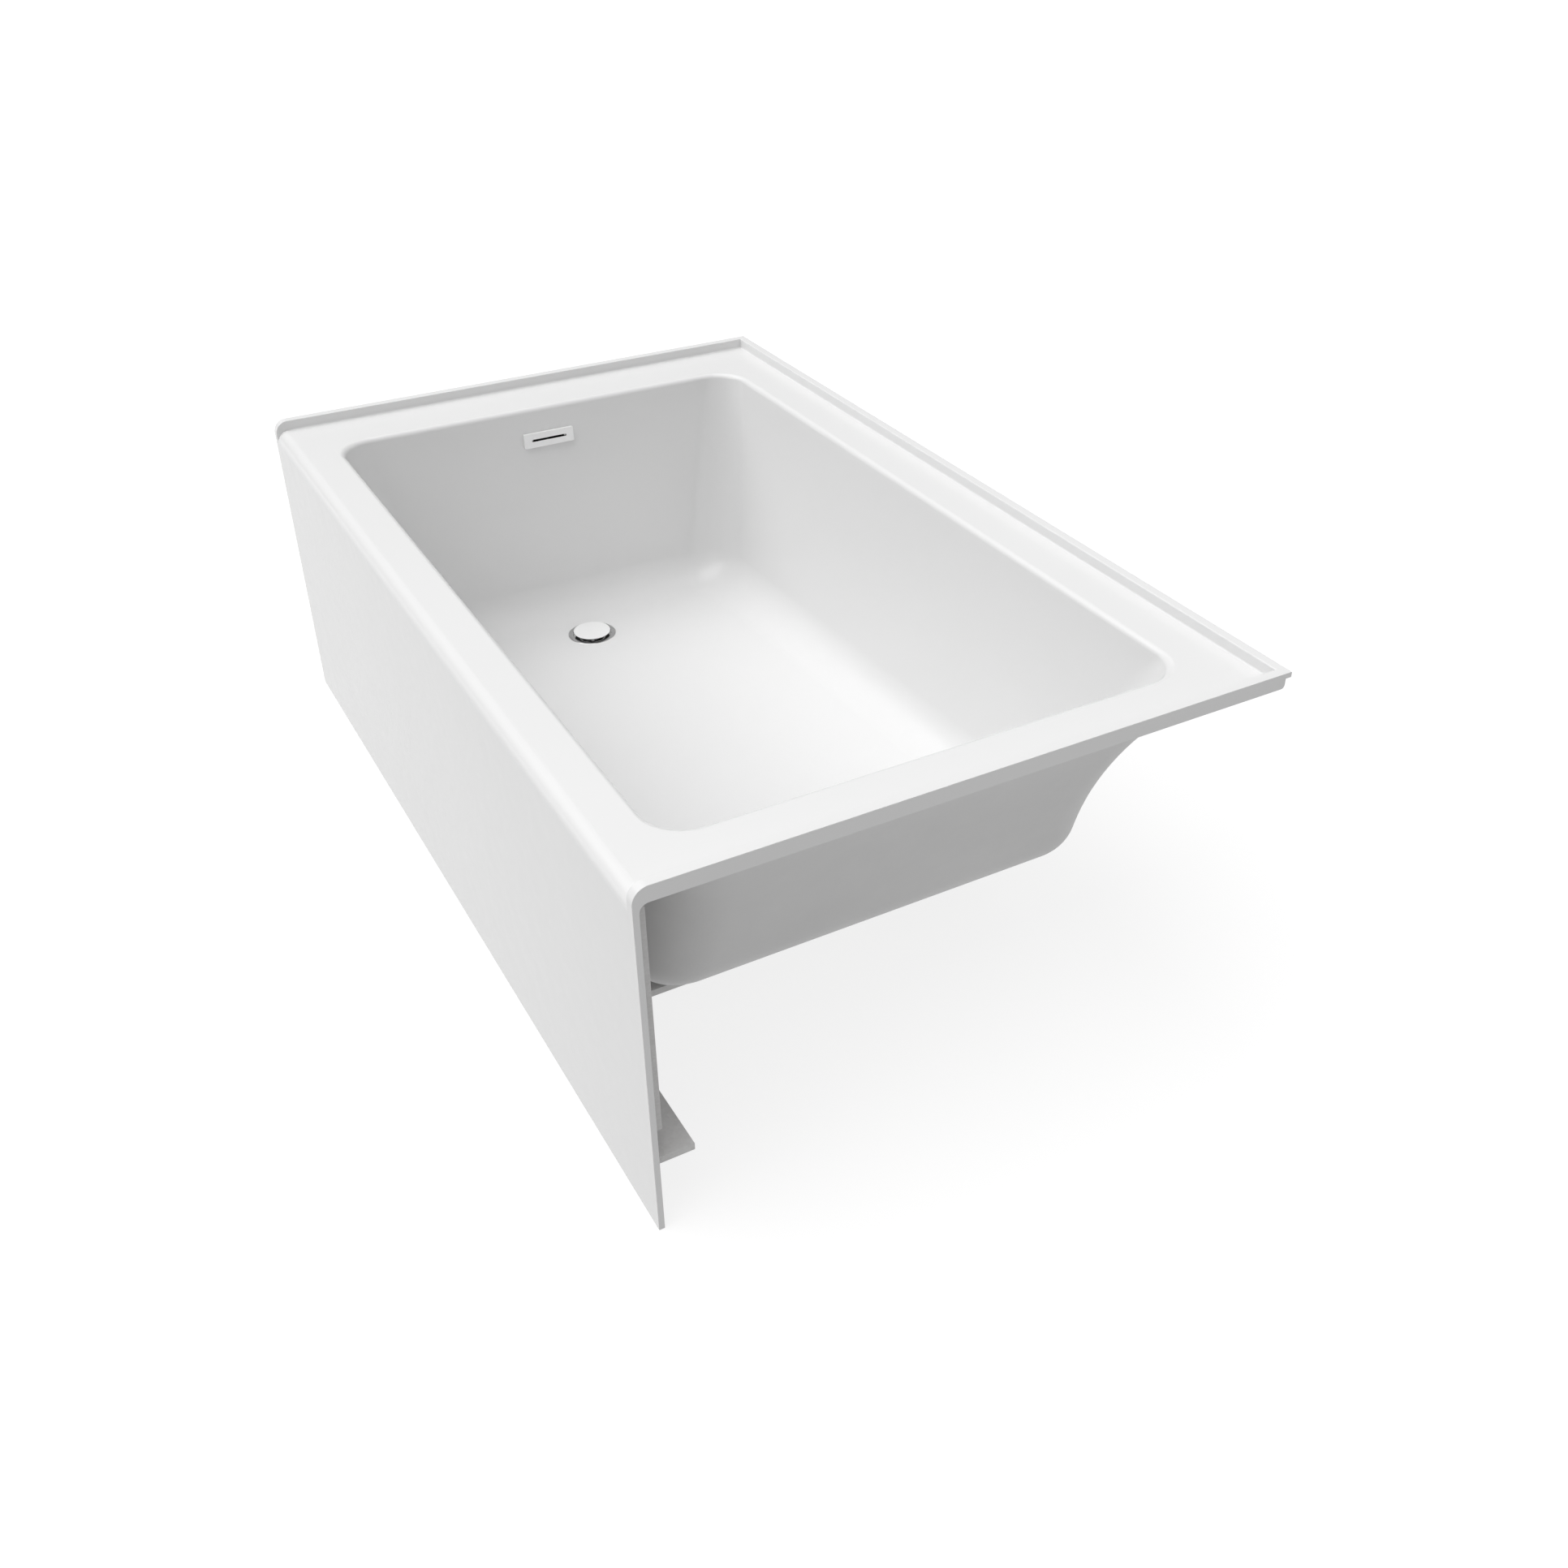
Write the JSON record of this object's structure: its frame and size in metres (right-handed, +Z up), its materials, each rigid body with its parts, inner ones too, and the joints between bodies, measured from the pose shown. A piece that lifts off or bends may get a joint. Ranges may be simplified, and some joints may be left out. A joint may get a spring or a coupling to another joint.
{
  "type": "alcove bathtub",
  "caption": "Skirted alcove bath: one-piece shell with apron, three-sided wall flange, levelling feet, toe-tap drain and slot overflow",
  "frame": {"origin": "on the floor, at the centre of the footprint", "axes": "+X along the length towards the backrest end, -X to the drain end, -Y out through the apron, +Z up"},
  "size_m": [1.5176, 0.9144, 0.5207],
  "materials": {
    "white_acrylic": "glossy moulded acrylic over laminate",
    "sealed_board": "resin-sealed board",
    "galvanised_steel": "galvanised sheet",
    "zinc_steel": "zinc plated",
    "polished_chrome": "polished",
    "cap_white": "gloss enamel",
    "cover_white": "semi-gloss",
    "black_rubber": "matt",
    "pad_rubber": "matt",
    "white_pvc": "extruded and moulded",
    "nut_plastic": "moulded"
  },
  "bodies": {
    "tub": {"tub_shell": "white_acrylic", "apron_backer_board": "sealed_board", "apron_stiffener_rib": "sealed_board", "base_board": "sealed_board", "support_rail_drain": "galvanised_steel", "support_rail_backrest": "galvanised_steel", "foot_nut_drain_front": "zinc_steel", "rail_screw_drain_front": "zinc_steel", "foot_nut_drain_back": "zinc_steel", "rail_screw_drain_back": "zinc_steel", "foot_nut_backrest_front": "zinc_steel", "rail_screw_backrest_front": "zinc_steel", "foot_nut_backrest_back": "zinc_steel", "rail_screw_backrest_back": "zinc_steel", "drain_flange": "polished_chrome", "drain_gasket": "black_rubber", "overflow_gasket": "black_rubber", "drain_locknut": "nut_plastic", "shoe_slip_nut": "nut_plastic", "tee_side_nut": "nut_plastic", "tee_top_nut": "nut_plastic", "overflow_slip_nut": "nut_plastic", "drain_shoe": "white_pvc", "waste_pipe": "white_pvc", "waste_tee": "white_pvc", "waste_tailpiece": "white_pvc", "overflow_tube": "white_pvc", "overflow_body": "white_pvc", "overflow_bracket": "zinc_steel", "overflow_screw_left": "zinc_steel", "overflow_screw_right": "zinc_steel", "overflow_cover": "cover_white"},
    "stopper": {"stopper_cap": "cap_white", "stopper_seal": "black_rubber", "stopper_stem": "polished_chrome"},
    "foot_drain_front": {"foot_stud_drain_front": "zinc_steel", "foot_pad_drain_front": "pad_rubber"},
    "foot_drain_back": {"foot_stud_drain_back": "zinc_steel", "foot_pad_drain_back": "pad_rubber"},
    "foot_backrest_front": {"foot_stud_backrest_front": "zinc_steel", "foot_pad_backrest_front": "pad_rubber"},
    "foot_backrest_back": {"foot_stud_backrest_back": "zinc_steel", "foot_pad_backrest_back": "pad_rubber"}
  },
  "joints": [
    {"name": "stopper_slide", "type": "slide", "parent": "tub", "child": "stopper", "axis": [0, 0, 1], "range_m": [-0.0066, 0], "stiffness_N_per_m": 500, "springref_m": 0.003},
    {"name": "foot_drain_front_screw", "type": "slide", "parent": "tub", "child": "foot_drain_front", "axis": [0, 0, 1], "range_m": [-0.01, 0.005]},
    {"name": "foot_drain_back_screw", "type": "slide", "parent": "tub", "child": "foot_drain_back", "axis": [0, 0, 1], "range_m": [-0.01, 0.005]},
    {"name": "foot_backrest_front_screw", "type": "slide", "parent": "tub", "child": "foot_backrest_front", "axis": [0, 0, 1], "range_m": [-0.01, 0.005]},
    {"name": "foot_backrest_back_screw", "type": "slide", "parent": "tub", "child": "foot_backrest_back", "axis": [0, 0, 1], "range_m": [-0.01, 0.005]}
  ]
}
